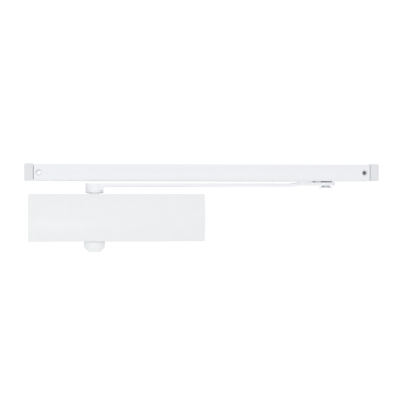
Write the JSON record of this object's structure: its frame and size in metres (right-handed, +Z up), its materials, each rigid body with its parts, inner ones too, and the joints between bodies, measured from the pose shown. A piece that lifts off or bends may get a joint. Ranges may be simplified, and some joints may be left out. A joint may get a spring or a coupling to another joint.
{
  "type": "slide rail door closer",
  "caption": "Surface-mounted door closer: a crowned body with a spring piston on a rack and pinion, a single flat arm, and a slotted slide rail with end caps.",
  "frame": {"origin": "on the body's back face, level with the middle of the body and behind the spindle axis", "axes": "+X along the body towards the spring end, +Y into the door, +Z up along the spindle to the arm"},
  "size_m": [0.462, 0.0475, 0.1143],
  "materials": {
    "cast_body": "as-cast, matt, machined at the mounting face",
    "plug_steel": "turned and zinc plated",
    "gland_steel": "turned, dull",
    "bearing_steel": "ground and hardened",
    "spindle_steel": "ground",
    "piston_iron": "ground",
    "ball_steel": "polished",
    "spring_steel": "drawn wire, blued",
    "clip_steel": "rolled spring steel",
    "screw_steel": "zinc plated",
    "pin_steel": "nickel plated",
    "washer_steel": "polished",
    "brass": "turned",
    "seal_rubber": "matt",
    "cover_paint": "silver-white, fine satin powder coat",
    "arm_paint": "silver-white, satin powder coat",
    "rail_aluminium": "silver-white coated extrusion",
    "cap_plastic": "moulded, satin",
    "end_cap_plastic": "moulded, light grey",
    "shoe_plastic": "moulded acetal"
  },
  "bodies": {
    "closer_body": {"housing": "cast_body", "left_end_plug": "plug_steel", "right_end_plug": "plug_steel", "end_plug_seals": "seal_rubber", "upper_bearing": "bearing_steel", "lower_bearing": "bearing_steel", "upper_gland_nut": "gland_steel", "lower_gland_nut": "gland_steel", "spindle_seals": "seal_rubber", "spindle_cap": "cap_plastic", "cover_clips": "clip_steel", "clip_screws": "screw_steel", "main_spring": "spring_steel"},
    "spindle_and_arm": {"spindle": "spindle_steel", "arm": "arm_paint", "arm_screw": "screw_steel", "slider_pin": "pin_steel", "pin_circlip": "clip_steel", "slider_washer": "washer_steel", "bowed_washer": "pin_steel"},
    "slide_shoe": {"slide_shoe": "shoe_plastic"},
    "rail": {"rail": "rail_aluminium", "rail_cap_left": "end_cap_plastic", "rail_cap_right": "end_cap_plastic"},
    "piston": {"piston": "piston_iron", "piston_rings": "seal_rubber", "check_ball_cage": "brass"},
    "check_ball": {"check_ball": "ball_steel"},
    "spring_seat": {"spring_seat": "plug_steel"},
    "spring_adjuster": {"spring_adjuster": "spindle_steel", "adjuster_seal": "seal_rubber"},
    "closing_speed_valve": {"closing_speed_valve": "brass", "closing_valve_seal": "seal_rubber"},
    "latching_speed_valve": {"latching_speed_valve": "brass", "latching_valve_seal": "seal_rubber"},
    "backcheck_valve": {"backcheck_valve": "brass", "backcheck_valve_seal": "seal_rubber"},
    "cover": {"cover": "cover_paint"}
  },
  "joints": [
    {"name": "spindle_turn", "type": "hinge", "parent": "closer_body", "child": "spindle_and_arm", "pos_m": [0, -0.0225, 0], "axis": [0, 0, 1], "range_deg": [0, 170], "stiffness_Nm_per_rad": 4},
    {"name": "piston_slide", "type": "slide", "parent": "closer_body", "child": "piston", "axis": [1, 0, 0], "range_m": [0, 0.0246], "deforming": ["main_spring"]},
    {"name": "slider_pivot", "type": "hinge", "parent": "spindle_and_arm", "child": "slide_shoe", "pos_m": [0.30441, -0.015, 0.058], "axis": [0, 0, 1], "continuous": true},
    {"name": "rail_slide", "type": "slide", "parent": "slide_shoe", "child": "rail", "axis": [1, 0, 0], "range_m": [-0.022, 0.344]},
    {"name": "check_ball_lift", "type": "slide", "parent": "piston", "child": "check_ball", "axis": [1, 0, 0], "range_m": [0, 0.0008]},
    {"name": "spring_adjuster_turn", "type": "hinge", "parent": "closer_body", "child": "spring_adjuster", "pos_m": [0.12, -0.0225, 0], "axis": [1, 0, 0], "range_deg": [-1440, 0]},
    {"name": "spring_seat_slide", "type": "slide", "parent": "closer_body", "child": "spring_seat", "axis": [1, 0, 0], "range_m": [-0.005, 0], "deforming": ["main_spring"]},
    {"name": "closing_valve_turn", "type": "hinge", "parent": "closer_body", "child": "closing_speed_valve", "pos_m": [-0.06, -0.00703, 0.0145], "axis": [1, 0, 0], "range_deg": [-180, 360]},
    {"name": "latching_valve_turn", "type": "hinge", "parent": "closer_body", "child": "latching_speed_valve", "pos_m": [-0.06, -0.00703, -0.0145], "axis": [1, 0, 0], "range_deg": [-180, 360]},
    {"name": "backcheck_valve_turn", "type": "hinge", "parent": "closer_body", "child": "backcheck_valve", "pos_m": [0.115, -0.00703, 0.0145], "axis": [1, 0, 0], "range_deg": [-180, 360]},
    {"name": "cover_pull", "type": "slide", "parent": "closer_body", "child": "cover", "axis": [0, -1, 0], "range_m": [0, 0.06]}
  ],
  "couplings": [
    {"joint": "piston_slide", "follows": "spindle_turn", "m_per_rad": 0.00825},
    {"joint": "spring_adjuster_turn", "follows": "spring_seat_slide", "rad_per_m": 5026.5}
  ]
}
